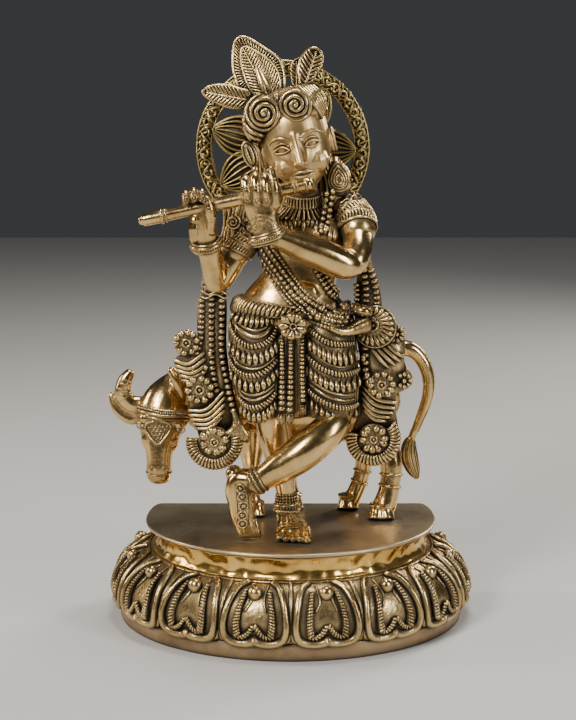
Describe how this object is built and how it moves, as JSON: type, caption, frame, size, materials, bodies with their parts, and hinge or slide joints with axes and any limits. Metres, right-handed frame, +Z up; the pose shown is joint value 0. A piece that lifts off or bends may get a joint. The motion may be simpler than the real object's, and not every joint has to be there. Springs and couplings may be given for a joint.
{
  "type": "hindu deity statue",
  "caption": "Brass temple statue of a cross-legged flute player before a cow, with a round halo behind the head, on a half-round lotus base.",
  "frame": {"origin": "middle of the footprint, on the surface that the base stands on", "axes": "+Z up, from the base to the crown; -Y is the front, which the figure faces; +X is to the right of someone facing the front"},
  "size_m": [0.2193, 0.1299, 0.3512],
  "materials": {
    "polished_brass": "cast brass, hand polished to a warm mirror with dark hollows",
    "antique_brass": "chased cast brass, bright on the high spots and nearly black in the grooves",
    "deck_brass": "sheet and plain cast brass, darkened and brushed to a dull sheen",
    "steel": "plain steel fixings, hidden under the deck"
  },
  "bodies": {
    "root": {"base_foot": "deck_brass", "lotus_skirt": "antique_brass", "base_waist": "polished_brass", "deck_plate": "deck_brass", "figure_stud": "steel", "figure_nut": "steel", "cow_stud_front": "steel", "cow_nut_front": "steel", "cow_stud_rear": "steel", "cow_nut_rear": "steel", "cow_body": "polished_brass", "cow_head": "polished_brass", "cow_horn_left": "polished_brass", "cow_ear_left": "polished_brass", "cow_horn_right": "polished_brass", "cow_ear_right": "polished_brass", "cow_leg_front_near": "polished_brass", "cow_leg_front_far": "polished_brass", "cow_leg_rear_near": "polished_brass", "cow_leg_rear_far": "polished_brass", "cow_tail": "polished_brass", "torso": "polished_brass", "waist_belt": "antique_brass", "dhoti": "antique_brass", "belt_rosette": "antique_brass", "apron_strands": "antique_brass", "standing_leg": "polished_brass", "standing_foot": "antique_brass", "standing_anklet": "antique_brass", "crossing_leg": "polished_brass", "crossing_foot": "antique_brass", "crossing_anklet": "antique_brass", "head": "polished_brass", "hair_cap": "antique_brass", "hair_back": "antique_brass", "side_lock": "antique_brass", "feather_centre": "antique_brass", "feather_left": "antique_brass", "feather_right": "antique_brass", "halo_ring": "antique_brass", "halo_leaves": "antique_brass", "collar": "antique_brass", "flute": "polished_brass", "left_sleeve": "antique_brass", "left_arm": "polished_brass", "left_bracelet": "antique_brass", "left_hand": "polished_brass", "right_sleeve": "antique_brass", "right_arm": "polished_brass", "right_bracelet": "antique_brass", "right_hand": "polished_brass", "left_sash": "antique_brass", "right_sash": "antique_brass", "left_rosette_top": "antique_brass", "left_rosette_middle": "antique_brass", "left_rosette_bottom": "antique_brass", "hip_rosette": "antique_brass", "right_rosette_middle": "antique_brass", "right_rosette_bottom": "antique_brass", "garland": "antique_brass"}
  },
  "joints": []
}
